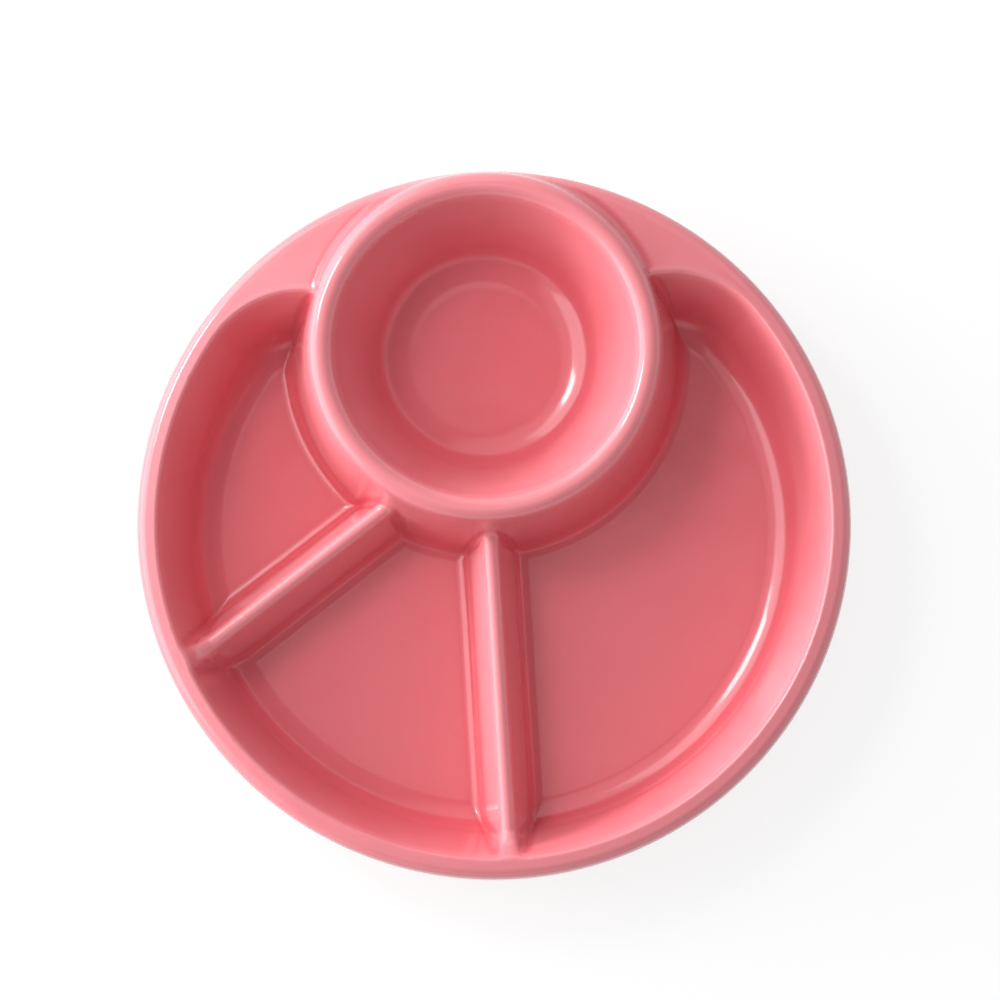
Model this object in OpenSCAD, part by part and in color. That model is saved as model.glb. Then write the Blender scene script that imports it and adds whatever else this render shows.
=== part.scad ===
// Divided compartment plate with a built-in bowl.
// A round dish holds three food compartments, parted by two straight dividers.
// A deeper bowl rises through the back of the dish, with a sloping shoulder on
// either side of it. The whole plate stands on one foot ring.
// The origin is the centre of the foot ring, on the table. +Y points at the
// bowl and +Z points up. All lengths are in millimetres, all angles in degrees.

/* [Plate] */
// Diameter over the rim
plate_d = 254; // [235:1:275]
// Height of the rim above the table
rim_h = 36; // [32:0.5:42]
// Width of the rim, from the compartments to the outer edge
rim_w = 7.1; // [6:0.1:8]
// Height of the upright band round the outside of the rim
rim_band_h = 12; // [8:0.5:14]
// Rounding of the rim's outer edge
rim_round_r = 3.5; // [2:0.25:4]
// Rounding of the rim's inner edge, where it drops into the compartments
rim_edge_r = 1.8; // [1:0.1:2.5]
// Outward fall of the rim and the shoulders
rim_fall = 8; // [4:0.5:11]
// Lean of the walls away from upright
wall_draft = 28; // [22:0.5:31]
// Thickness of the dish under the compartments
floor_t = 4; // [3:0.25:6]
// Fillet where the compartment floor turns up into the wall
floor_fillet_r = 10; // [6:0.5:12]
// Rounding outside, where the wall turns under the dish
heel_r = 12; // [6:0.5:14]

/* [Bowl] */
// Width left between the top of the bowl and the plate's edge at the back
bowl_back_gap = 2.2; // [1:0.1:4]
// Outer diameter across the top of the bowl
bowl_d = 125; // [119:0.5:128]
// Height of the bowl's rim above the plate's rim
bowl_rise = 6; // [4:0.25:9]
// Width of the top of the bowl's rim
bowl_rim_w = 6.8; // [5.8:0.1:8]
// Rounding of both edges of the bowl's rim
bowl_edge_r = 3.8; // [2:0.1:4.2]
// Lean of the bowl's inner wall away from upright
bowl_inner_draft = 30.5; // [26:0.5:34]
// Lean of the bowl's outer wall away from upright
bowl_outer_draft = 20; // [15:0.5:22]
// Thickness of the clay under the bowl
bowl_floor_t = 6; // [4.5:0.25:8]
// Fillet where the bowl's floor turns up into its wall
bowl_fillet_r = 16; // [10:0.5:20]
// Fillet where the bowl's outer wall meets the compartment floor
bowl_foot_r = 6; // [3:0.5:8]
// Flat ledge outside that fillet, which is part of the bowl
bowl_ledge_w = 1; // [0.5:0.1:2]

/* [Shoulders] */
// Radius of the compartment's end against the shoulder
tip_r = 35; // [30:0.5:38]
// How far outside the top of the bowl that radius has its centre
tip_gap = 6.8; // [6:0.1:9]
// Radius of the corner between the shoulder and the bowl
corner_r = 6; // [4:0.25:8]

/* [Dividers] */
// Height of the dividers above the table
divider_h = 28; // [20:0.5:31]
// Width of a divider across its top
divider_w = 7.2; // [6:0.1:9]
// Rounding of both top edges of a divider
divider_edge_r = 2.6; // [1.5:0.1:3]
// Lean of a divider's sides away from upright
divider_draft = 21; // [15:0.5:24]
// Fillet where a divider meets the compartment floor
divider_foot_r = 5.5; // [3:0.5:7]
// Angle between the left divider and the centre divider
left_divider_angle = 52.5; // [46:0.5:58]
// Distance behind the plate's centre of the point that the left divider aims at
left_divider_aim = 41.7; // [38:0.5:46]

/* [Foot] */
// Distance that the foot ring stands in from the plate's edge
foot_inset = 27; // [25:0.5:36]
// Width of the foot ring where it leaves the dish
foot_w = 7; // [5.5:0.25:9]
// Height of the foot ring
foot_h = 2.5; // [2:0.25:4]
// Rounding of the foot ring's two lower edges
foot_edge_r = 0.8; // [0.4:0.1:1]
// Lean of the foot ring's sides away from upright
foot_draft = 25; // [10:1:30]

/* [Hidden] */

$fa = 1.5;
$fs = 0.5;

// Largest turn between two points of a rounded corner
arc_step = 6;
// How far a cutting shape runs past the surface that it cuts
overrun = 1;
// Angle by which a shoulder stops short of where it would be infinitely thin
feather_angle = 2;
// How far the corner beside the bowl is cut into the two walls that it joins
corner_bite = 0.02;
// Sides of the plate, seen with the bowl at the back
LEFT = -1;
RIGHT = 1;

glaze = "lightcoral";
bare_clay = "antiquewhite";

plate_r = plate_d / 2;
inner_r = plate_r - rim_w;
floor_h = foot_h + floor_t;
band_h = rim_h - rim_band_h;
floor_corner_r = inner_r - (rim_h - floor_h) * tan(wall_draft);
heel_corner_r = plate_r - (band_h - foot_h) * tan(wall_draft);

bowl_h = rim_h + bowl_rise;
bowl_r = bowl_d / 2;
bowl_offset = plate_r - bowl_r - bowl_back_gap;
bowl_floor_h = foot_h + bowl_floor_t;
bowl_mouth_r = bowl_r - bowl_rim_w;
bowl_floor_r = bowl_mouth_r - (bowl_h - bowl_floor_h) * tan(bowl_inner_draft);
bowl_outer_floor_r = bowl_r + (bowl_h - floor_h) * tan(bowl_outer_draft);
bowl_fillet_w = bowl_foot_r * tan((90 - bowl_outer_draft) / 2);
bowl_seat_r = bowl_outer_floor_r + bowl_fillet_w + bowl_ledge_w;
bowl_centre = [0, bowl_offset];

tip_floor_r = tip_r - (rim_h - floor_h) * tan(wall_draft);
tip_offset = inner_r - tip_r;
// Angle from the bowl's axis to where each shoulder runs out into the wall
shoulder_angle = acos(
    (tip_offset * tip_offset + bowl_offset * bowl_offset - pow(bowl_r + tip_gap, 2)) / (2 * tip_offset * bowl_offset)
);

// The corner beside the bowl is a cone, and its tip touches the bowl's outer wall
corner_depth = corner_r / tan(wall_draft);
corner_tip_h = rim_h - corner_depth;
corner_bowl_r = bowl_r + (bowl_h - corner_tip_h) * tan(bowl_outer_draft) - corner_bite;
corner_tip_r = tip_r - corner_r + corner_bite;

divider_run = (divider_h - floor_h) * tan(divider_draft);
divider_floor_w = divider_w / 2 + divider_run;
divider_fillet_w = divider_foot_r * tan((90 - divider_draft) / 2);
divider_base_w = divider_floor_w + divider_fillet_w + overrun;

foot_r = plate_r - foot_inset;
foot_lean = foot_h * tan(foot_draft);

// Height of the sloping top of the rim and the shoulders at radius r
function rim_top_h(r) = rim_h + (inner_r - r) * tan(rim_fall);

function unit(v) = v / norm(v);

// Points of the arc that rounds corner b, between its neighbours a and c
function rounded_corner(a, b, c, r) =
    r == 0 ? [b] :
    let (
        to_a = unit(a - b),
        to_c = unit(c - b),
        half_angle = acos(to_a * to_c) / 2,
        centre = b + unit(to_a + to_c) * r / sin(half_angle),
        first = b + to_a * r / tan(half_angle) - centre,
        last = b + to_c * r / tan(half_angle) - centre,
        start = atan2(first.y, first.x),
        turn = (atan2(last.y, last.x) - start + 540) % 360 - 180,
        steps = ceil(abs(turn) / arc_step)
    )
    [for (i = [0:steps]) centre + r * [cos(start + turn * i / steps), sin(start + turn * i / steps)]];

// A run of points from first to last, with the corners between them rounded
function rounded_path(points, radii) = [
    points[0],
    for (i = [1:len(points) - 2])
        each rounded_corner(points[i - 1], points[i], points[i + 1], radii[i]),
    points[len(points) - 1]
];

function without_last(list) = [for (i = [0:len(list) - 2]) list[i]];

function without_first(list) = [for (i = [1:len(list) - 1]) list[i]];

// Where a circle round a meets a circle round b, on the side that has the larger y
function circle_meeting(a, a_r, b, b_r) =
    let (
        gap = norm(b - a),
        along = (gap * gap + a_r * a_r - b_r * b_r) / (2 * gap),
        across = sqrt(a_r * a_r - along * along),
        ahead = unit(b - a),
        normals = [[-ahead.y, ahead.x], [ahead.y, -ahead.x]],
        side = normals[0].y > normals[1].y ? normals[0] : normals[1]
    )
    a + along * ahead + across * side;

// Upper surface of the dish, from its centre out over the floor, wall and rim
dish_upper_path = rounded_path(
    [[0, floor_h], [floor_corner_r, floor_h], [inner_r, rim_h], [plate_r, rim_top_h(plate_r)], [plate_r, band_h]],
    [0, floor_fillet_r, rim_edge_r, rim_round_r, 0]
);

// Inside of the compartments, ending where the rim's top begins
dish_inner_path = without_last(rounded_path(
    [[0, floor_h], [floor_corner_r, floor_h], [inner_r, rim_h], [plate_r, rim_top_h(plate_r)]],
    [0, floor_fillet_r, rim_edge_r, 0]
));

// Outside of the dish, from under its centre round the heel and up the wall
dish_lower_path = rounded_path(
    [[0, foot_h], [heel_corner_r, foot_h], [plate_r, band_h], [plate_r, rim_h]],
    [0, heel_r, rim_band_h / 2, 0]
);

// The full outer form of the plate, open upwards, which trims the bowl at the back
module plate_envelope() {
    top_h = bowl_h + overrun;
    rotate_extrude()
        polygon(concat(without_last(dish_lower_path), [[plate_r, top_h], [0, top_h]]));
}

module dish_round() {
    last = len(dish_upper_path) - 1;
    rotate_extrude()
        polygon(concat(
            without_last(dish_lower_path),
            [for (i = [last - 1:-1:0]) dish_upper_path[i]]
        ));
}

// The outside of the bowl, filled in, from the given height up to its rim
module bowl_blank(bottom) {
    outside = rounded_path(
        [[bowl_seat_r, bottom], [bowl_seat_r, floor_h], [bowl_outer_floor_r, floor_h], [bowl_r, bowl_h], [0, bowl_h]],
        [0, 0, bowl_foot_r, bowl_edge_r, 0]
    );
    translate(bowl_centre)
        rotate_extrude()
            polygon(concat([[0, bottom]], outside));
}

// What the bowl's outside takes away from the pieces that it stands among
module bowl_space() {
    bowl_blank(foot_h - overrun);
    translate(bowl_centre)
        cylinder(r = bowl_r, h = rim_top_h(0) + overrun);
}

module bowl_hollow() {
    top_h = bowl_h + overrun;
    wall = rounded_path(
        [[0, bowl_floor_h], [bowl_floor_r, bowl_floor_h], [bowl_mouth_r, bowl_h], [bowl_r, bowl_h]],
        [0, bowl_fillet_r, bowl_edge_r, 0]
    );
    translate(bowl_centre)
        rotate_extrude()
            polygon(concat(without_last(wall), [[wall[len(wall) - 2].x, top_h], [0, top_h]]));
}

module dish_body() {
    color(glaze)
        difference() {
            dish_round();
            bowl_space();
        }
}

module bowl() {
    color(glaze)
        difference() {
            intersection() {
                bowl_blank(foot_h);
                plate_envelope();
            }
            bowl_hollow();
        }
}

function tip_centre(side) =
    tip_offset * [side * sin(shoulder_angle), cos(shoulder_angle)];

function corner_centre(side) =
    circle_meeting(tip_centre(side), corner_tip_r, bowl_centre, corner_bowl_r);

// Hollow end of a compartment, wider towards the top like the rest of its wall
module tip_hollow(side) {
    head_h = bowl_h + overrun;
    head_r = tip_r + (head_h - rim_h) * tan(wall_draft);
    translate(tip_centre(side))
        rotate_extrude()
            polygon(concat(
                rounded_path([[0, floor_h], [tip_floor_r, floor_h], [head_r, head_h]], [0, floor_fillet_r, 0]),
                [[0, head_h]]
            ));
}

// Clay that fills the sharp corner between a compartment's end and the bowl
module corner_fill(side) {
    centre = corner_centre(side);
    from_tip = unit(centre - tip_centre(side));
    to_bowl = unit(bowl_centre - centre);
    head_h = bowl_h + 2 * overrun;
    cone_h = head_h - corner_tip_h;
    difference() {
        linear_extrude(height = head_h - overrun)
            polygon([
                centre,
                centre + tip_r * from_tip,
                centre + tip_r * unit(from_tip + to_bowl),
                centre + tip_r * to_bowl
            ]);
        translate([centre.x, centre.y, corner_tip_h])
            rotate_extrude()
                polygon([[0, 0], [cone_h * tan(wall_draft), cone_h], [0, cone_h]]);
    }
}

module shoulder(side) {
    sweep = shoulder_angle - feather_angle;
    color(glaze)
        difference() {
            rotate([0, 0, side == LEFT ? 90 : 90 - sweep])
                rotate_extrude(angle = sweep)
                    polygon(concat(
                        [[tip_offset, floor_h]],
                        without_first(dish_inner_path),
                        [[tip_offset, rim_top_h(tip_offset)]]
                    ));
            difference() {
                tip_hollow(side);
                corner_fill(side);
            }
            bowl_space();
        }
}

module left_shoulder() {
    shoulder(LEFT);
}

module right_shoulder() {
    shoulder(RIGHT);
}

// A straight divider that leaves start along -Y, turned clockwise by angle
module divider(start, angle) {
    half = rounded_path(
        [[divider_base_w, floor_h], [divider_floor_w, floor_h], [divider_w / 2, divider_h], [0, divider_h]],
        [0, divider_foot_r, divider_edge_r, 0]
    );
    right_side = [for (i = [1:len(half) - 2]) half[i]];
    left_side = [for (i = [len(right_side) - 1:-1:0]) [-right_side[i].x, right_side[i].y]];
    color(glaze)
        difference() {
            intersection() {
                translate(start)
                    rotate([90, 0, -angle])
                        linear_extrude(height = plate_d)
                            polygon(concat(right_side, left_side));
                rotate_extrude()
                    polygon(concat(dish_inner_path, [[0, rim_h]]));
            }
            bowl_space();
        }
}

module left_divider() {
    divider([0, left_divider_aim], left_divider_angle);
}

module centre_divider() {
    divider([0, 0], 0);
}

module foot_ring() {
    inside_r = foot_r - foot_w;
    color(bare_clay)
        rotate_extrude()
            polygon(rounded_path(
                [[foot_r, foot_h], [foot_r - foot_lean, 0], [inside_r + foot_lean, 0], [inside_r, foot_h]],
                [0, foot_edge_r, foot_edge_r, 0]
            ));
}

dish_body();
bowl();
left_shoulder();
right_shoulder();
left_divider();
centre_divider();
foot_ring();
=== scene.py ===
# %% [markdown]
# # A divided plate with a bowl, in glazed ceramic
# The real plate is one body of fired clay under a thick coral-pink glaze. Its
# beauty is in the soft turns from floor to wall, so this lesson builds the
# whole glazed surface from one height rule and then cuts it into the plate's
# own pieces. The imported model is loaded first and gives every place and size.

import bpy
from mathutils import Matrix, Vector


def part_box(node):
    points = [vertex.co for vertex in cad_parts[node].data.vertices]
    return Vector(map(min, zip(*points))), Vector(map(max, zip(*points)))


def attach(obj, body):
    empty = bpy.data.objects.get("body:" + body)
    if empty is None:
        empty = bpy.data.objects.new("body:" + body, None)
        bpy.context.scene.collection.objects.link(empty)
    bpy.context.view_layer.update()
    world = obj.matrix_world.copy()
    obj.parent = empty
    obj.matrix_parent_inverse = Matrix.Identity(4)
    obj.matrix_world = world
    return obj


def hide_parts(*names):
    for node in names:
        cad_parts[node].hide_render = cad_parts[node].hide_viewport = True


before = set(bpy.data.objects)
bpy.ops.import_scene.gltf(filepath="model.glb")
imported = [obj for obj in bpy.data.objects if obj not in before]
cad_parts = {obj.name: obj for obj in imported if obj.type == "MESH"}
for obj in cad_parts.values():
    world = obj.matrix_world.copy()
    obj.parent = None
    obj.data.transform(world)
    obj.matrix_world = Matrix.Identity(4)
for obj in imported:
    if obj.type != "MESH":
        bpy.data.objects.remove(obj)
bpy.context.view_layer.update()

# %% [markdown]
# ## Camera
# The photo looks almost straight down, leaning 7.4 degrees to the front, with
# a long lens. Building the camera from an aim point, a tilt and a roll keeps
# each of those readable. The plate lies slightly low and left in the picture,
# so the camera aims a little above and to the right of its centre.

# %% Camera
import math

import bpy
import numpy as np
from mathutils import Matrix, Vector

MM = 0.001
scene = bpy.context.scene

camera_distance = 1600 * MM
camera_tilt = math.radians(7.4)
camera_turn = math.radians(-1.1)
camera_roll = math.radians(-3.03)
picture_px = 1000
focal_px = 4408
sensor_mm = 36
aim_px = Vector((5.6, 33.2))


def camera_axes(forward, roll):
    """Right and up vectors of a camera that looks along forward."""
    up = Vector((0, 1, 0))
    up = (up - forward * up.dot(forward)).normalized()
    right = forward.cross(up)
    return (
        right * math.cos(roll) + up * math.sin(roll),
        up * math.cos(roll) - right * math.sin(roll),
    )


to_camera = Vector((
    math.sin(camera_turn) * math.sin(camera_tilt),
    -math.cos(camera_turn) * math.sin(camera_tilt),
    math.cos(camera_tilt),
))
camera_place = to_camera * camera_distance
right, up = camera_axes(-to_camera, camera_roll)
px_size = camera_distance / focal_px
aim = right * aim_px.x * px_size + up * aim_px.y * px_size
forward = (aim - camera_place).normalized()
right, up = camera_axes(forward, camera_roll)

camera_data = bpy.data.cameras.new("camera")
camera_data.sensor_width = sensor_mm
camera_data.lens = sensor_mm * focal_px / picture_px
camera = bpy.data.objects.new("camera", camera_data)
camera.matrix_world = Matrix((
    (right.x, up.x, -forward.x, camera_place.x),
    (right.y, up.y, -forward.y, camera_place.y),
    (right.z, up.z, -forward.z, camera_place.z),
    (0, 0, 0, 1),
))
scene.collection.objects.link(camera)
scene.camera = camera
print("camera:", round(camera_data.lens, 1), "mm lens at", camera_place)

# %% [markdown]
# ## Profiles
# Each form of the plate has a profile: straight lines with rounded corners, as
# a potter's template would have. A profile could be a curve object, but kept
# as a list of points it can be asked for the height at any distance, which the
# later cells need. Sizes are in millimetres and angles in degrees, as in a
# drawing.

# %% Profile tool
def unit(v):
    return v / np.linalg.norm(v)


def rounded_profile(points, radii, step_deg=1.0):
    """A run of straight lines whose corners are replaced by tangent arcs."""
    points = [np.array(p, float) for p in points]
    line = [points[0]]
    for before, corner, after, r in zip(points, points[1:], points[2:], radii):
        to_before, to_after = unit(before - corner), unit(after - corner)
        half = math.acos(to_before @ to_after) / 2
        centre = corner + unit(to_before + to_after) * r / math.sin(half)
        first = corner + to_before * r / math.tan(half) - centre
        last = corner + to_after * r / math.tan(half) - centre
        start = math.atan2(first[1], first[0])
        turn = (math.atan2(last[1], last[0]) - start + 3 * math.pi) % (2 * math.pi) - math.pi
        steps = math.ceil(abs(math.degrees(turn)) / step_deg)
        for k in range(steps + 1):
            a = start + turn * k / steps
            line.append(centre + r * np.array([math.cos(a), math.sin(a)]))
    line.append(points[-1])
    return np.array(line)


def lean(degrees):
    """Sideways run per unit of height of a wall that leans by that angle."""
    return math.tan(math.radians(degrees))


print("profile tool ready")

# %% Sizes of the dish
plate_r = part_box("dish_body")[1].x / MM
foot_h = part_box("foot_ring")[1].z / MM
rim_h = 36
rim_w = 7.1
rim_fall = 8
rim_round_r = 3.5
rim_band_h = 12
inner_r = plate_r - rim_w
floor_thickness = 4
floor_h = foot_h + floor_thickness
wall_draft = 26
floor_fillet_r = 13
heel_r = 12
under_draft = 28
band_corner_r = rim_band_h / 2
far = 200  # past the rim, so that no profile ends on the plate

wall_profile = rounded_profile(
    [
        (0, floor_h),
        (inner_r - (rim_h - floor_h) * lean(wall_draft), floor_h),
        (inner_r + rim_h * lean(wall_draft), 2 * rim_h),
    ],
    [floor_fillet_r],
)
heel_corner_r = plate_r - (rim_h - rim_band_h - foot_h) * lean(under_draft)
under_profile = rounded_profile(
    [(0, foot_h), (heel_corner_r, foot_h), (plate_r, rim_h - rim_band_h), (plate_r, rim_h)],
    [heel_r, band_corner_r],
)
print("dish radius", round(plate_r, 2), "mm, underside points", len(under_profile))

# %% Sizes of the bowl
bowl_y = 62.3
bowl_r = 62.5
bowl_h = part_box("bowl")[1].z / MM
bowl_rim_w = 6.8
bowl_floor_thickness = 6
bowl_floor_h = foot_h + bowl_floor_thickness
bowl_mouth_r = bowl_r - bowl_rim_w
bowl_rim_mid = bowl_r - bowl_rim_w / 2
bowl_inner_draft = 30.5
bowl_outer_draft = 13
bowl_floor_fillet_r = 16
bowl_foot_fillet_r = 5
lip_r = 4.6

bowl_profile = rounded_profile(
    [
        (0, bowl_floor_h),
        (bowl_mouth_r - (bowl_h - bowl_floor_h) * lean(bowl_inner_draft), bowl_floor_h),
        (bowl_mouth_r, bowl_h),
        (bowl_r, bowl_h),
        (bowl_r + (bowl_h - floor_h) * lean(bowl_outer_draft), floor_h),
        (far, floor_h),
    ],
    [bowl_floor_fillet_r, lip_r, lip_r, bowl_foot_fillet_r],
)
print("bowl profile points", len(bowl_profile))

# %% Sizes of the dividers
divider_h = 28
divider_w = 4.4
divider_draft = 19
ridge_r = 3
divider_fillet_r = 5.5
divider_profile = rounded_profile(
    [
        (0, divider_h),
        (divider_w / 2, divider_h),
        (divider_w / 2 + (divider_h - floor_h) * lean(divider_draft), floor_h),
        (far, floor_h),
    ],
    [ridge_r, divider_fillet_r],
)
# where each middle line starts, and its turn from straight to the front
dividers = {
    "left_divider": {"start": (3.6, 37.0), "turn": math.radians(54.9)},
    "centre_divider": {"start": (-1.6, 0), "turn": math.radians(-0.5)},
}


def divider_axes(name):
    """Where a divider starts, and its directions across and along."""
    turn = dividers[name]["turn"]
    start = np.array(dividers[name]["start"])
    across = np.array([math.cos(turn), -math.sin(turn)])
    along = np.array([-math.sin(turn), -math.cos(turn)])
    return start, across, along


for name in dividers:
    print(name, "runs along", divider_axes(name)[2].round(3))

# %% Ends of the compartments
tip_r = 35
tip_gap = 6.8
tip_offset = inner_r - tip_r
shoulder_turn = math.acos(
    (tip_offset**2 + bowl_y**2 - (bowl_r + tip_gap) ** 2) / (2 * tip_offset * bowl_y)
)
tip_x = tip_offset * math.sin(shoulder_turn)
tip_y = tip_offset * math.cos(shoulder_turn)
print("compartment ends turn about", round(tip_x, 1), round(tip_y, 1))

# %% [markdown]
# ## The glazed surface as a height rule
# Seen from above, every point of the plate has one height. Each form gives its
# own height there, and the highest wins. Where two forms meet, a plain maximum
# would leave a hard crease that wet glaze never has, so a smooth maximum fills
# the crease. Working with a rule and not with a sculpted mesh makes the same
# surface available to every piece, so no seam shows between them later.

# %% Smooth joins
least_join = 0.01


def smooth_max(a, b, width):
    """The larger of a and b, with the crease filled where they are within width."""
    near = np.clip(width - np.abs(a - b), 0, None) / width
    return np.maximum(a, b) + near**3 * width / 6


def smooth_min(a, b, width):
    return -smooth_max(-a, -b, width)


def growing(width, a, b, rise):
    """A join width that grows from almost nothing at the floor to full size."""
    share = np.clip((np.minimum(a, b) - floor_h) / rise, 0, 1)
    return least_join + width * share


print("a join 6 mm wide fills its crease by", smooth_max(0, 0, 6), "mm")


# %% Heights of the single forms
def height_on(profile, distance):
    return np.interp(distance, profile[:, 0], profile[:, 1])


def divider_height(name, x, y):
    """A long bar that starts under the bowl, with the floor beside it."""
    start, side, ahead = divider_axes(name)
    dx, dy = x - start[0], y - start[1]
    across = dx * side[0] + dy * side[1]
    along = dx * ahead[0] + dy * ahead[1]
    outside_bowl = np.hypot(x, y - bowl_y) > bowl_r
    bar = height_on(divider_profile, np.abs(across))
    return np.where((along > 0) & outside_bowl, bar, floor_h)


def land_height(x, y):
    """The sloping top of the rim and the shoulders."""
    return rim_h + (inner_r - np.hypot(x, y)) * lean(rim_fall)


land_inner_r = bowl_y / 2  # nearer the middle there are no shoulders


def behind_tips(x, y):
    """True on the bowl's side of a compartment's end, where the tighter arc rules."""
    on_bowl_side = np.abs(x) * math.cos(shoulder_turn) < y * math.sin(shoulder_turn)
    return on_bowl_side & (np.hypot(x, y) > land_inner_r)


def wall_height(x, y):
    """The compartments' wall, which turns in a tighter arc at their two ends."""
    inside = inner_r - np.hypot(x, y)
    inside_tip = tip_r - np.hypot(np.abs(x) - tip_x, y - tip_y)
    depth = np.where(behind_tips(x, y), inside_tip, inside)
    return height_on(wall_profile, inner_r - depth)


def rim_drop(r):
    """How far the rim's rounded outer edge falls below its sloping top."""
    run = np.clip(r - (plate_r - rim_round_r), 0, rim_round_r)
    return rim_round_r - np.sqrt(rim_round_r**2 - run**2)


print("the rim's top falls by", round(rim_w * lean(rim_fall), 2), "mm towards its edge")

# %% The height rule
edge_join = 2.8
corner_join = 16
corner_rise = 14
divider_join = 24
divider_rise = 12
bowl_clearance = 8
least_share = 0.02
lip_fillet_r = 4.5
lip_fillet_fade = 6
lip_centre_h = bowl_h - lip_r
lip_centre_r = bowl_r - lip_r * lean((90 - bowl_outer_draft) / 2)


def land_fillet(walls, land, bowl, from_bowl):
    """Glaze in the crease where the bowl's lip rises out of the rim and shoulders."""
    rise = land + lip_fillet_r - lip_centre_h
    run = np.sqrt(np.maximum((lip_r + lip_fillet_r) ** 2 - rise**2, 0))
    inside = np.clip(lip_centre_r + run - from_bowl, 0, lip_fillet_r)
    arc = land + lip_fillet_r - np.sqrt(lip_fillet_r**2 - inside**2)
    beyond_lip = from_bowl > lip_centre_r + run * lip_r / (lip_r + lip_fillet_r)
    fillet = np.where(beyond_lip, np.maximum(arc, bowl) - np.maximum(land, bowl), 0)
    return fillet * np.clip((walls - land) / lip_fillet_fade, 0, 1)


def glaze_height(x, y):
    """Height of the plate's upper surface above the table."""
    from_bowl = np.hypot(x, y - bowl_y)
    bowl = height_on(bowl_profile, from_bowl)
    wall = wall_height(x, y)
    land = land_height(x, y)
    walls = smooth_max(wall, bowl, growing(corner_join, wall, bowl, corner_rise))
    clear_of_bowl = np.clip((from_bowl - bowl_r) / bowl_clearance, least_share, 1)
    for name in dividers:
        bar = divider_height(name, x, y)
        join = growing(divider_join, walls, bar, divider_rise) * clear_of_bowl
        walls = smooth_max(walls, bar, join)
    z = smooth_min(walls, land, edge_join)
    z = np.maximum(z, bowl) + land_fillet(walls, land, bowl, from_bowl)
    z = np.where(from_bowl < bowl_rim_mid, bowl, z)
    return z - rim_drop(np.hypot(x, y))


def under_height(x, y):
    """Height of the plate's underside above the table."""
    return height_on(under_profile[:-1], np.hypot(x, y))


print("height at the centre of the bowl", glaze_height(np.array([0.0]), np.array([bowl_y])))

# %% [markdown]
# ## Where one piece ends and the next begins
# The pieces meet along lines: the bowl's foot, the dividers' feet, the ends of
# the compartments. Each line is found on the height rules themselves, for
# example where the divider is as high as the wall. These lines become edges of
# the mesh, so each piece is cut cleanly and not in steps.

# %% Outline of the bowl
outline_turns = np.linspace(0, 2 * math.pi, 480, endpoint=False)
outline_steps = 700
lip_margin = 0.3
bowl_foot_r = bowl_profile[-2, 0]
bowl_limit_r = plate_r - 1.2  # the bowl stays inside the rim's outer edge


def bowl_outline():
    """Plan of the bowl: as far out as its wall is the highest form."""
    distance = np.linspace(bowl_r, bowl_foot_r, outline_steps)
    outline = []
    for turn in outline_turns:
        x = distance * math.cos(turn)
        y = bowl_y + distance * math.sin(turn)
        others = smooth_min(wall_height(x, y), land_height(x, y), edge_join)
        for name in dividers:
            others = np.maximum(others, divider_height(name, x, y))
        free = height_on(bowl_profile, distance) > others
        inside = (np.hypot(x, y) < bowl_limit_r) & (free | (distance < bowl_r + lip_margin))
        last = len(distance) if inside.all() else np.argmin(inside)
        outline.append((x[last - 1], y[last - 1]))
    return np.array(outline)


outlines = {"bowl": bowl_outline()}
print("bowl outline:", len(outlines["bowl"]), "points")

# %% Outlines of the dividers and the shoulders
wall_foot_r = wall_profile[1, 0]
divider_foot = divider_profile[-2, 0]
divider_end_points = 61
divider_side_points = 90
tip_points = 60
ray_points = 24
edge_points = 100
land_edge_r = inner_r + 1.7  # on the rim's flat top


def divider_outline(name):
    """Plan of a divider: its two foot lines and the curve where it meets the wall."""
    across = np.linspace(-divider_foot, divider_foot, divider_end_points)
    height = height_on(divider_profile, np.abs(across))
    end_r = np.interp(height, wall_profile[1:, 1], wall_profile[1:, 0])
    start, side, ahead = divider_axes(name)
    foot = start + across[:, None] * side
    toward = foot @ ahead
    reach = -toward + np.sqrt(toward**2 + end_r**2 - (foot**2).sum(1))
    far_end = foot + reach[:, None] * ahead
    left = [foot[0] + ahead * s for s in np.linspace(0, reach[0], divider_side_points)]
    right = [foot[-1] + ahead * s for s in np.linspace(reach[-1], 0, divider_side_points)]
    return np.array(left + list(far_end[1:-1]) + right)


def shoulder_outline(side):
    """Plan of a shoulder, from the compartment's end to the rim's flat top."""
    foot_r = tip_r - (inner_r - wall_foot_r)
    low = math.pi / 2 - shoulder_turn
    tip = np.array([tip_x, tip_y])
    foot_turns = np.linspace(low, low + math.pi, tip_points)
    foot_line = tip + foot_r * np.stack([np.cos(foot_turns), np.sin(foot_turns)], 1)
    out = np.linspace(wall_foot_r, land_edge_r, ray_points)
    ray = out[:, None] * np.array([math.cos(low), math.sin(low)])
    edge_turns = np.linspace(low, math.pi / 2, edge_points)
    edge = land_edge_r * np.stack([np.cos(edge_turns), np.sin(edge_turns)], 1)
    edge[-1] = (0, land_edge_r)  # the very point that the other shoulder has
    outline = np.concatenate([foot_line[::-1], ray[1:], edge[1:]])
    return outline * np.array([side, 1])


for name in dividers:
    outlines[name] = divider_outline(name)
outlines["left_shoulder"] = shoulder_outline(-1)
outlines["right_shoulder"] = shoulder_outline(1)
print("outlines:", {name: len(outline) for name, outline in outlines.items()})

# %% [markdown]
# ## Points for the mesh
# A mesh needs many points where the surface turns quickly and few where it is
# flat. Rings round the plate, rings round the bowl, rows along the dividers
# and arcs round the compartments' ends follow the forms as a lathe's or a
# cutter's marks would. Every second ring round the bowl, and every second row
# of a divider, is moved by half a step, which gives even triangles and so an
# even shine. A crowded point is dropped, so no sliver triangle forms.

# %% Tools for rings and rows
least_ring_count = 8
profile_step = 0.05


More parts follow.
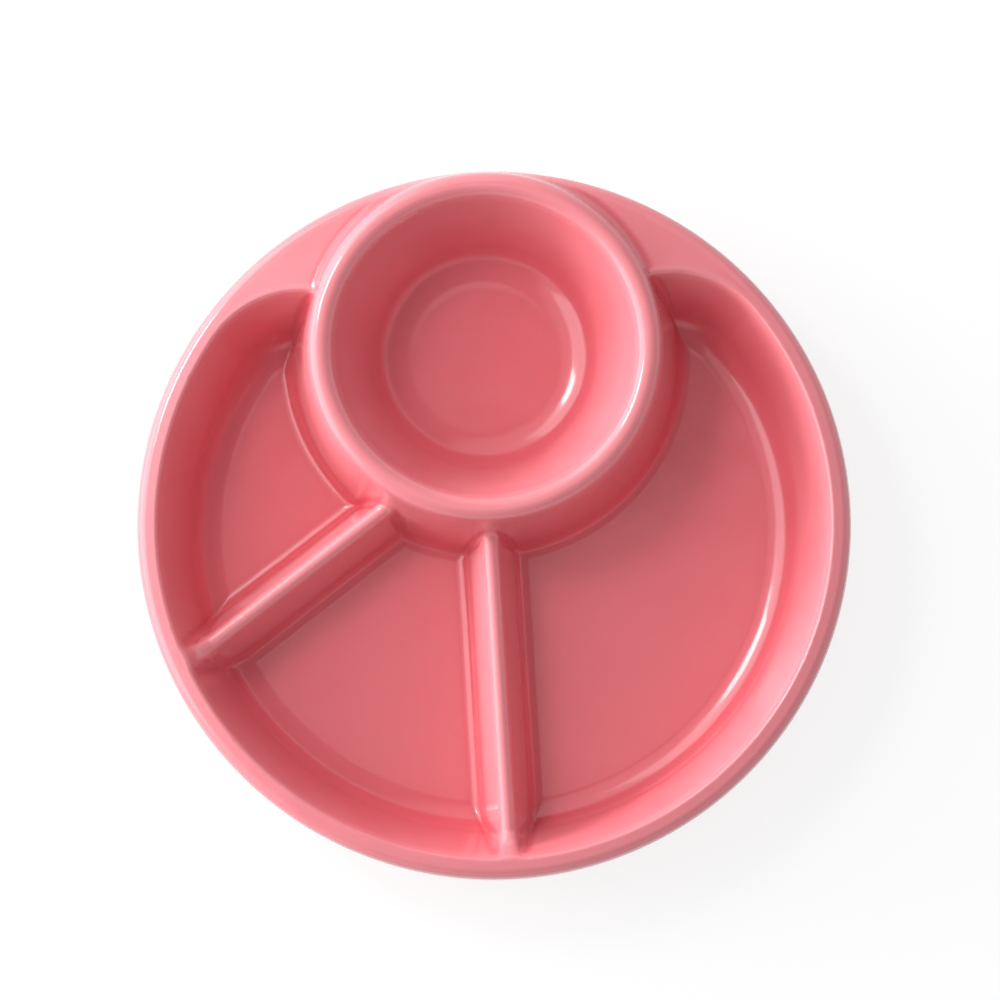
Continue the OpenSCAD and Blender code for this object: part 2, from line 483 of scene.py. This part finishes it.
def ring(centre_x, centre_y, r, spacing, start=0.0, sweep=2 * math.pi):
    """Points on a circle, or on an arc of it, about that far apart."""
    count = max(least_ring_count, round(r * sweep / spacing))
    turns = start + sweep * np.arange(count) / count
    return np.stack([centre_x + r * np.cos(turns), centre_y + r * np.sin(turns)], 1)


def fine_rows(profile, low, high, turn_deg, stretch):
    """Distances along a profile, closer where it turns."""
    keep = [low]
    slope = np.degrees(np.arctan2(np.diff(profile[:, 1]), np.diff(profile[:, 0])))
    middle = (profile[1:, 0] + profile[:-1, 0]) / 2
    dense = np.arange(low, high, profile_step)
    angle = np.interp(dense, middle, slope)
    last = angle[0]
    for d, a in zip(dense, angle):
        if abs(a - last) > turn_deg or d - keep[-1] > stretch:
            keep.append(d)
            last = a
    keep.append(high)
    return keep


plate_ring_count = 400


def plate_ring(r):
    return ring(0, 0, r, 2 * math.pi * r / plate_ring_count)


print("points round the rim:", len(plate_ring(plate_r)))

# %% Rings round the plate
outer_steps = np.radians(np.arange(0, 90, 10))
outer_rows = plate_r - rim_round_r + rim_round_r * np.sin(outer_steps)
wall_row_gap = 1.3
edge_row_gap = 0.4
wall_rows = list(np.arange(wall_foot_r, inner_r - 1.6, wall_row_gap))
edge_rows = list(np.arange(inner_r - 1.4, inner_r + 2.0, edge_row_gap))
rings = [plate_ring(r) for r in list(outer_rows) + wall_rows + edge_rows]
print("rings round the plate:", len(rings))

# %% Rings round the bowl
inner_ring_count = 220
lip_ring_count = 320
bowl_start_r = 3
lip_row_gap = 0.6
first_turn = 0.2


def bowl_rings(radii, count):
    """Rings round the bowl, every second one turned by half a step."""
    step = 2 * math.pi / count
    return [
        ring(0, bowl_y, r, r * step, step * (first_turn + 0.5 * (k % 2)))
        for k, r in enumerate(radii)
    ]


inner_rows = fine_rows(
    bowl_profile, bowl_start_r, bowl_r - 2 * lip_row_gap, turn_deg=5, stretch=2.5
)
lip_rows = np.arange(bowl_r - lip_row_gap, bowl_foot_r, lip_row_gap)
rings += bowl_rings(inner_rows, inner_ring_count) + bowl_rings(lip_rows, lip_ring_count)
print("rings with the bowl's:", len(rings))

# %% Arcs round the compartments' ends
tip_low = math.pi / 2 - shoulder_turn
tip_point_gap = 1.2
for side in (-1, 1):
    for r in tip_r - (inner_r - np.array(wall_rows + edge_rows)):
        arc = ring(tip_x, tip_y, r, tip_point_gap, tip_low, math.pi)
        rings.append(arc * np.array([side, 1]))
print("rings:", len(rings), "with", sum(len(r) for r in rings), "points")

# %% Rows along the dividers and a loose fill
rows = []
row_step = 1.2
row_end = 130
divider_rows = fine_rows(divider_profile, 0, divider_foot, turn_deg=9, stretch=0.6)
for name in dividers:
    start, side, ahead = divider_axes(name)
    for k, across in enumerate(divider_rows + [-d for d in divider_rows[1:]]):
        for s in np.arange(0, row_end, row_step) + row_step / 2 * (k % 2):
            rows.append(start + side * across + ahead * s)
loose = 4.5
fill = np.arange(-plate_r, plate_r, loose)
for i, y in enumerate(fill):
    for x in fill:
        rows.append(np.array([x + loose / 2 * (i % 2), y]))
rows = np.array(rows)
rows = rows[np.hypot(rows[:, 0], rows[:, 1]) < plate_r - rim_round_r]
print("rows and fill:", len(rows), "points")

# %% Drop crowded points
crowding = 0.38


def thinned(groups):
    """The points of all groups in order, each kept only if none lies too close."""
    cells = {}
    kept = []
    for group in groups:
        for x, y in group:
            i, j = int(x // crowding), int(y // crowding)
            near = (
                cells.get((i + a, j + b))
                for a in (-1, 0, 1)
                for b in (-1, 0, 1)
            )
            if any(p and (p[0] - x) ** 2 + (p[1] - y) ** 2 < crowding**2 for p in near):
                continue
            cells[i, j] = (x, y)
            kept.append((x, y))
    return kept


def within(points, r):
    """The points that lie nearer than r to the plate's middle."""
    return points[np.hypot(points[:, 0], points[:, 1]) < r]


rim_margin = 0.03
lines = [plate_ring(plate_r)] + list(outlines.values())
inner_points = [within(group, plate_r - rim_margin) for group in rings + [rows]]
free_points = thinned(lines + inner_points)
print("kept", len(free_points), "points")

# %% [markdown]
# ## One triangulation for the whole plate
# A constrained triangulation joins the points and keeps every outline as a row
# of edges. It is flat, in the plan of the plate; the height rule lifts it. All
# pieces share it, so neighbours have the very same points where they meet.

# %% Triangulate the plan
from mathutils.geometry import delaunay_2d_cdt

longest_edge = 12
merge_distance = 0.004
least_doubled_area = 1e-7
line_points = []
line_edges = []
for line in lines:
    first = len(line_points)
    line_points += [tuple(p) for p in line]
    gaps = np.linalg.norm(np.roll(line, -1, axis=0) - line, axis=1)
    for i in np.flatnonzero(gaps < longest_edge):
        line_edges.append((first + int(i), first + int(i + 1) % len(line)))
plan_input = [Vector(p) for p in line_points + free_points]
result = delaunay_2d_cdt(plan_input, line_edges, [], 0, merge_distance, False)
plan = np.array([tuple(p) for p in result[0]])
triangles = np.array([t for t in result[2] if len(t) == 3])
corner = plan[triangles]
doubled = np.cross(corner[:, 1] - corner[:, 0], corner[:, 2] - corner[:, 0])
triangles[doubled < 0] = triangles[doubled < 0][:, ::-1]
triangles = triangles[np.abs(doubled) > least_doubled_area]
print("plan:", len(plan), "points,", len(triangles), "triangles")


# %% Which piece each triangle belongs to
portions = 40


def inside_outline(points, outline):
    """True for each point that lies inside a closed outline."""
    x, y = points[:, 0][:, None], points[:, 1][:, None]
    a, b = outline, np.roll(outline, -1, axis=0)
    result = np.zeros(len(points), bool)
    for part in np.array_split(np.arange(len(points)), portions):
        crosses = (a[:, 1] > y[part]) != (b[:, 1] > y[part])
        with np.errstate(divide="ignore", invalid="ignore"):
            at_x = a[:, 0] + (y[part] - a[:, 1]) * (b[:, 0] - a[:, 0]) / (b[:, 1] - a[:, 1])
        result[part] = ((crosses & (x[part] < at_x)).sum(1) % 2).astype(bool)
    return result


middles = plan[triangles].mean(1)
owner = np.full(len(triangles), "dish_body", dtype=object)
for name in ["left_shoulder", "right_shoulder", "left_divider", "centre_divider", "bowl"]:
    owner[inside_outline(middles, outlines[name])] = name
for name in ["dish_body"] + list(outlines):
    print(name, "has", int((owner == name).sum()), "triangles of the plan")

# %% [markdown]
# ## Normals, glaze bend and painted light
# A shiny surface shows every facet, so the normals come from the height rule
# and not from the triangles. The same rule tells how sharply the surface
# bends: molten glaze runs off an edge and gathers in a hollow. Height adds a
# share, and the dividers another, which paint the high parts paler: that is
# painted light. The sum is kept on the mesh for the material to use.

# %% Heights and normals
probe = 0.04
edge_tolerance = 0.01


def surface_normals(rule, x, y):
    """Unit normals of the surface that a height rule gives."""
    slope_x = (rule(x + probe, y) - rule(x - probe, y)) / (2 * probe)
    slope_y = (rule(x, y + probe) - rule(x, y - probe)) / (2 * probe)
    normals = np.stack([-slope_x, -slope_y, np.ones_like(x)], 1)
    return normals / np.linalg.norm(normals, axis=1)[:, None]


x, y = plan[:, 0], plan[:, 1]
plan_r = np.hypot(x, y)
at_edge = plan_r > plate_r - edge_tolerance
outward = np.stack([x, y, np.zeros_like(x)], 1) / np.maximum(plan_r, 1)[:, None]
top_z = glaze_height(x, y)
top_normals = surface_normals(glaze_height, x, y)
top_normals[at_edge] = outward[at_edge]
under_z = under_height(x, y)
under_normals = -surface_normals(under_height, x, y)
under_normals[at_edge] = outward[at_edge]
print("heights from", round(top_z.min(), 2), "to", round(top_z.max(), 2), "mm")

# %% How sharply the glaze bends, and painted light on high parts
bend_probe = 1.3
painted_light_from_h = 8
painted_light_full_h = 32
painted_light_by_height = 0.17
divider_painted_light = 0.14
divider_full_light_h = 8
rim_edge_w = 1.5
rim_edge_bend = 0.2


def bend():
    """How sharply the upper surface turns, positive on an edge, per millimetre."""
    east = surface_normals(glaze_height, x + bend_probe, y)[:, 0]
    west = surface_normals(glaze_height, x - bend_probe, y)[:, 0]
    north = surface_normals(glaze_height, x, y + bend_probe)[:, 1]
    south = surface_normals(glaze_height, x, y - bend_probe)[:, 1]
    return (east - west + north - south) / (2 * bend_probe)


# Painted light: the share by height makes high parts paler, standing in for the light they
# catch.
lit_height_share = np.clip((top_z - painted_light_from_h) / (painted_light_full_h - painted_light_from_h), 0, 1)
bend_and_painted_light = bend() + painted_light_by_height * lit_height_share
# Painted light on the dividers: where a divider stands above the wall, its colour is made
# paler.
for name in dividers:
    stands_out = divider_height(name, x, y) - wall_height(x, y)
    bend_and_painted_light += divider_painted_light * np.clip(stands_out / divider_full_light_h, 0, 1)
bend_and_painted_light[plan_r > plate_r - rim_edge_w] = rim_edge_bend
print("bends from", round(bend_and_painted_light.min(), 2), "to", round(bend_and_painted_light.max(), 2), "per mm")

# %% [markdown]
# ## Building the pieces
# Each piece is a closed solid: its part of the glazed top, its underside, and
# upright walls where it meets its neighbours inside the clay. The shoulders
# and dividers sit in shallow seats in the dish, as clay pieces are joined, and
# the bowl goes right through it.

# %% Upright walls of a piece
def wall_faces(sheets, count):
    """Upright faces round each sheet: down to the next sheet, or to the underside.

    A wall also takes in the points that a sheet in between has on its two
    uprights, so the mesh stays closed there.
    """
    sheet_of = {}
    for k, (mine, _, _) in enumerate(sheets):
        for t in triangles[mine].tolist():
            for a, b in zip(t, t[1:] + t[:1]):
                sheet_of[a, b] = k
    points_of = [set(triangles[mine].ravel().tolist()) for mine, _, _ in sheets]
    walls = []
    for (a, b), k in sheet_of.items():
        below = sheet_of.get((b, a), len(sheets))
        if below > k:
            between = range(k + 1, below)
            up = [below] + [s for s in reversed(between) if b in points_of[s]] + [k]
            down = [k] + [s for s in between if a in points_of[s]] + [below]
            walls.append([b + s * count for s in up] + [a + s * count for s in down])
    return walls


print("wall tool ready for", len(triangles), "triangles")


# %% Solid builder
def build_piece(name, sheets, low, low_normals):
    """A closed mesh: sheets of the plan at their own heights, over one underside."""
    count = len(plan)
    mine = np.any([s[0] for s in sheets], axis=0)
    under = triangles[mine][:, ::-1] + len(sheets) * count
    caps = np.concatenate([triangles[s[0]] + k * count for k, s in enumerate(sheets)] + [under])
    walls = wall_faces(sheets, count)
    sizes = [len(wall) for wall in walls]
    upright = np.concatenate(walls)
    heights = np.concatenate([s[1] for s in sheets] + [low])
    normals = np.concatenate([s[2] for s in sheets] + [low_normals])
    used, corners = np.unique(np.concatenate([caps.ravel(), upright]), return_inverse=True)
    place = np.column_stack([plan[used % count], heights[used]]) * MM
    cap_corners = corners[: caps.size].reshape(-1, 3).tolist()
    wall_corners = np.split(corners[caps.size:], np.cumsum(sizes)[:-1])
    mesh = bpy.data.meshes.new(name)
    mesh.from_pydata(place.tolist(), [], cap_corners + [c.tolist() for c in wall_corners])
    on_edge = np.array([at_edge[np.array(wall) % count].all() for wall in walls])
    wall_normals = np.where(np.repeat(on_edge, sizes)[:, None], normals[upright], 0)
    loop_normals = np.concatenate([normals[caps].reshape(-1, 3), wall_normals])
    smooth = np.concatenate([np.ones(len(caps), bool), on_edge])
    mesh.polygons.foreach_set("use_smooth", smooth)
    mesh.normals_split_custom_set(loop_normals.tolist())
    # These values hold the glaze bend plus the painted light on high parts and dividers.
    bends = np.where(used < len(sheets) * count, bend_and_painted_light[used % count], 0)
    mesh.attributes.new("glaze_bend_and_painted_light", "FLOAT", "POINT").data.foreach_set(
        "value", bends.astype(np.float32)
    )
    piece = bpy.data.objects.new(name, mesh)
    scene.collection.objects.link(piece)
    print(name, "mesh:", len(used), "points,", len(mesh.polygons), "faces")
    return piece


# %% The glazed pieces
seat_depth = 1.0
seat_z = np.minimum(height_on(wall_profile, plan_r), land_height(x, y)) - seat_depth
seat_normals = np.tile((0.0, 0.0, 1.0), (len(plan), 1))
seated = [name for name in outlines if name != "bowl"]
dish_sheets = [
    (owner == "dish_body", top_z, top_normals),
    (np.isin(owner, seated), seat_z, seat_normals),
]
pieces = {"dish_body": build_piece("glazed_dish", dish_sheets, under_z, under_normals)}
bowl_sheets = [(owner == "bowl", top_z, top_normals)]
pieces["bowl"] = build_piece("glazed_bowl", bowl_sheets, under_z, under_normals)
for name in seated:
    sheets = [(owner == name, top_z, top_normals)]
    pieces[name] = build_piece("glazed_" + name, sheets, seat_z, -seat_normals)
for name, piece in pieces.items():
    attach(piece, "root")
    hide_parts(name)

# %% [markdown]
# ## Glaze material
# The glaze is a saturated coral under a clear, wet-looking surface. Two layers
# of gloss give that: a softer one from the glaze's body, and a sharp coat over
# it. The colour is paler where the glaze runs thinner over an edge, and deeper
# where it gathers. High parts and the dividers are painted paler as well, which
# is painted light. The surface of a fired glaze is never quite level, so a low,
# wide bump bends each highlight a little.

# %% Material helpers
def new_material(name):
    """A material with its node tree and its main shader."""
    material = bpy.data.materials.new(name)
    material.use_nodes = True
    nodes = material.node_tree.nodes
    links = material.node_tree.links
    return material, nodes, links, nodes["Principled BSDF"]


def noise(nodes, links, scale, detail):
    """Cloudy pattern fixed to the object, with scale in repeats per metre."""
    place = nodes.new("ShaderNodeTexCoord")
    pattern = nodes.new("ShaderNodeTexNoise")
    pattern.inputs["Scale"].default_value = scale
    pattern.inputs["Detail"].default_value = detail
    links.new(place.outputs["Object"], pattern.inputs["Vector"])
    return pattern.outputs["Fac"]


def map_range(nodes, links, value, low, high, to_low, to_high):
    """The span from low to high stretched onto another span, and held at its ends."""
    spread = nodes.new("ShaderNodeMapRange")
    spread.inputs["From Min"].default_value = low
    spread.inputs["From Max"].default_value = high
    spread.inputs["To Min"].default_value = to_low
    spread.inputs["To Max"].default_value = to_high
    links.new(value, spread.inputs["Value"])
    return spread.outputs["Result"]


def bump(nodes, links, height, depth, below=None):
    """Small relief with the given depth in metres, on top of another if given."""
    relief = nodes.new("ShaderNodeBump")
    relief.inputs["Distance"].default_value = depth
    links.new(height, relief.inputs["Height"])
    if below:
        links.new(below, relief.inputs["Normal"])
    return relief.outputs["Normal"]


print("material helpers ready")

# %% Colour of the coral glaze
noise_span = (0.3, 0.7)
cloud_depth = 0.03
bend_span = (-0.2, 0.25)
hollow_colour = (0.77, 0.118, 0.15, 1)
level_colour = (0.78, 0.138, 0.17, 1)
# The pale end of the ramp serves thinner glaze on edges and painted light on high parts.
thin_edge_and_lit_colour = (0.87, 0.25, 0.285, 1)
level_place = 0.44

glaze, nodes, links, shader = new_material("coral_glaze")
# This attribute carries the glaze bend and the painted light on high parts and dividers.
bend_and_light = nodes.new("ShaderNodeAttribute")
bend_and_light.attribute_name = "glaze_bend_and_painted_light"
clouds = noise(nodes, links, scale=30, detail=2)
cloud = map_range(nodes, links, clouds, *noise_span, -cloud_depth, cloud_depth)
paleness = nodes.new("ShaderNodeMath")
paleness.operation = "ADD"
links.new(bend_and_light.outputs["Fac"], paleness.inputs[0])
links.new(cloud, paleness.inputs[1])
along = map_range(nodes, links, paleness.outputs["Value"], *bend_span, 0, 1)
ramp = nodes.new("ShaderNodeValToRGB")
ramp.color_ramp.interpolation = "EASE"
ramp.color_ramp.elements[0].color = hollow_colour
ramp.color_ramp.elements[1].color = thin_edge_and_lit_colour
level = ramp.color_ramp.elements.new(level_place)
level.color = level_colour
links.new(along, ramp.inputs["Fac"])
links.new(ramp.outputs["Color"], shader.inputs["Base Color"])
print("glaze colours on the ramp:", len(ramp.color_ramp.elements))

# %% Gloss of the coral glaze
roughness_span = (0.17, 0.24)
wide_wave_depth = 0.0003
fine_wave_depth = 0.00003

shader.inputs["Coat Weight"].default_value = 0.7
shader.inputs["Coat Roughness"].default_value = 0.07
hazes = noise(nodes, links, scale=90, detail=3)
haze = map_range(nodes, links, hazes, *noise_span, *roughness_span)
links.new(haze, shader.inputs["Roughness"])
swell = noise(nodes, links, scale=45, detail=1)
ripple = noise(nodes, links, scale=260, detail=2)
wide_wave = bump(nodes, links, swell, wide_wave_depth)
fine_wave = bump(nodes, links, ripple, fine_wave_depth, wide_wave)
links.new(wide_wave, shader.inputs["Coat Normal"])
links.new(fine_wave, shader.inputs["Normal"])
for piece in pieces.values():
    piece.data.materials.append(glaze)
print("glaze on", len(pieces), "pieces")

# %% [markdown]
# ## Bare clay
# The foot ring is wiped clean before firing, so that the plate does not stick
# to the kiln's shelf. It stays dry and sandy, with darker grains in a warm pale
# clay, so its roughness is high and its relief is fine and sharp.

# %% Bare clay
grain_colour = (0.42, 0.31, 0.22, 1)
clay_colour = (0.70, 0.58, 0.46, 1)
grain_span = (0.34, 0.5)
dryness_span = (0.72, 0.88)
grain_depth = 0.00015

clay, nodes, links, shader = new_material("unglazed_clay")
grain = noise(nodes, links, scale=1400, detail=4)
tone = nodes.new("ShaderNodeValToRGB")
for stop, position, colour in zip(
    tone.color_ramp.elements, grain_span, (grain_colour, clay_colour)
):
    stop.position = position
    stop.color = colour
links.new(grain, tone.inputs["Fac"])
links.new(tone.outputs["Color"], shader.inputs["Base Color"])
patches = noise(nodes, links, scale=200, detail=2)
dryness = map_range(nodes, links, patches, *noise_span, *dryness_span)
links.new(dryness, shader.inputs["Roughness"])
links.new(bump(nodes, links, grain, grain_depth), shader.inputs["Normal"])
foot_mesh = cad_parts["foot_ring"].data
foot_mesh.materials.clear()
foot_mesh.materials.append(clay)
print("materials:", [m.name for m in bpy.data.materials])

# %% [markdown]
# ## Floor and sky
# The photo's ground is plain white. The floor gets that white from a glow that
# only the camera and the reflections see, so the light on the plate stays
# even, and a share of plain paper under it still takes the plate's shadow. The
# sky is a soft even light. In reflections it is a room: bright near the ground,
# straight above and on the window's side, and dimmer elsewhere, so that the
# glaze has something to show.

# %% White for what looks and reflects
def looking_rays(nodes, links):
    """1 for rays that see or mirror the background, 0 for rays that carry light."""
    rays = nodes.new("ShaderNodeLightPath")
    total = rays.outputs["Is Camera Ray"]
    for kind in ("Is Glossy Ray", "Is Transmission Ray"):
        step = nodes.new("ShaderNodeMath")
        step.operation = "ADD"
        step.use_clamp = True
        links.new(total, step.inputs[0])
        links.new(rays.outputs[kind], step.inputs[1])
        total = step.outputs["Value"]
    return total


print("helper for looking rays ready")

# %% Floor
floor_half = 3.0
glow_strength = 1.1
glow_share = 0.75

corners = [(-1, -1), (1, -1), (1, 1), (-1, 1)]
floor_mesh = bpy.data.meshes.new("floor")
floor_mesh.from_pydata(
    [(floor_half * i, floor_half * j, 0) for i, j in corners], [], [range(len(corners))]
)
floor = bpy.data.objects.new("floor", floor_mesh)
scene.collection.objects.link(floor)
paper, nodes, links, shader = new_material("white_paper")
shader.inputs["Base Color"].default_value = (0.8, 0.8, 0.8, 1)
shader.inputs["Roughness"].default_value = 1.0
shader.inputs["Specular IOR Level"].default_value = 0.0
glow = nodes.new("ShaderNodeEmission")
glow.inputs["Strength"].default_value = glow_strength
share = map_range(nodes, links, looking_rays(nodes, links), 0, 1, 0, glow_share)
pick = nodes.new("ShaderNodeMixShader")
links.new(share, pick.inputs["Fac"])
links.new(shader.outputs["BSDF"], pick.inputs[1])
links.new(glow.outputs["Emission"], pick.inputs[2])
links.new(pick.outputs["Shader"], nodes["Material Output"].inputs["Surface"])
floor.data.materials.append(paper)
print("floor glow share", glow_share)

# %% Tools for the sky
def facing(nodes, links, axis):
    """How far the direction that is looked in points along axis."""
    direction = nodes.new("ShaderNodeTexCoord")
    product = nodes.new("ShaderNodeVectorMath")
    product.operation = "DOT_PRODUCT"
    product.inputs[1].default_value = axis
    links.new(direction.outputs["Generated"], product.inputs[0])
    return product.outputs["Value"]


def brightest(nodes, links, values):
    """The largest of several values."""
    top = values[0]
    for value in values[1:]:
        larger = nodes.new("ShaderNodeMath")
        larger.operation = "MAXIMUM"
        links.new(top, larger.inputs[0])
        links.new(value, larger.inputs[1])
        top = larger.outputs["Value"]
    return top


print("sky tools ready")

# %% Sky
sky_light = 0.44
shade = 0.32
window_edge = (0.12, 0.24)
ground_edge = (0.5, 0.3)
overhead_edge = (0.987, 0.997)

world = bpy.data.worlds.new("studio")
scene.world = world
world.use_nodes = True
nodes = world.node_tree.nodes
links = world.node_tree.links
window_wall = facing(nodes, links, (-0.85, 0.5, 0))
height = facing(nodes, links, (0, 0, 1))
overhead = facing(nodes, links, (0.03, 0.03, 0.999))
mirrored = brightest(nodes, links, [
    map_range(nodes, links, window_wall, *window_edge, shade, 1),
    map_range(nodes, links, height, *ground_edge, shade, 1),
    map_range(nodes, links, overhead, *overhead_edge, shade, 1),
])
strength = nodes.new("ShaderNodeMix")
strength.inputs["A"].default_value = sky_light
links.new(looking_rays(nodes, links), strength.inputs["Factor"])
links.new(mirrored, strength.inputs["B"])
sky = nodes["Background"]
sky.inputs["Color"].default_value = (1, 1, 1, 1)
links.new(strength.outputs["Result"], sky.inputs["Strength"])
print("sky light", sky_light, "with mirrored shade", shade)

# %% [markdown]
# ## Lamps
# The highlights in the photo tell where its lights stood. A small one at the
# back left draws the bright glints and the shadows beside the dividers. A wide
# one on the left, like a window, is mirrored as pale bands along the fillets. A
# low strip under it brightens the walls that face it. It is hidden from
# reflections, where it would draw a hard white line along the rim.

# %% Lamps
def lamp(name, place, width, height, watts):
    """A rectangular lamp that points at the middle of the plate."""
    data = bpy.data.lights.new(name, "AREA")
    data.shape = "RECTANGLE"
    data.size = width
    data.size_y = height
    data.energy = watts
    thing = bpy.data.objects.new(name, data)
    thing.location = place
    thing.rotation_euler = (-Vector(place)).to_track_quat("-Z", "Y").to_euler()
    scene.collection.objects.link(thing)
    return thing


def around(turn_deg, rise_deg, distance):
    """A place seen from the plate in that direction, that high and that far."""
    turn, rise = math.radians(turn_deg), math.radians(rise_deg)
    return (
        distance * math.cos(rise) * math.cos(turn),
        distance * math.cos(rise) * math.sin(turn),
        distance * math.sin(rise),
    )


lamp("key", around(141, 48, 1.6), width=0.36, height=0.4, watts=5.5)
lamp("window", around(160, 29, 2.0), width=3.4, height=2.1, watts=38)
low_lamp = lamp("low", around(158, 12, 2.0), width=1.6, height=0.5, watts=40)
low_lamp.visible_glossy = False
scene.view_settings.view_transform = "Standard"
print("lamps:", [(data.name, data.energy) for data in bpy.data.lights])
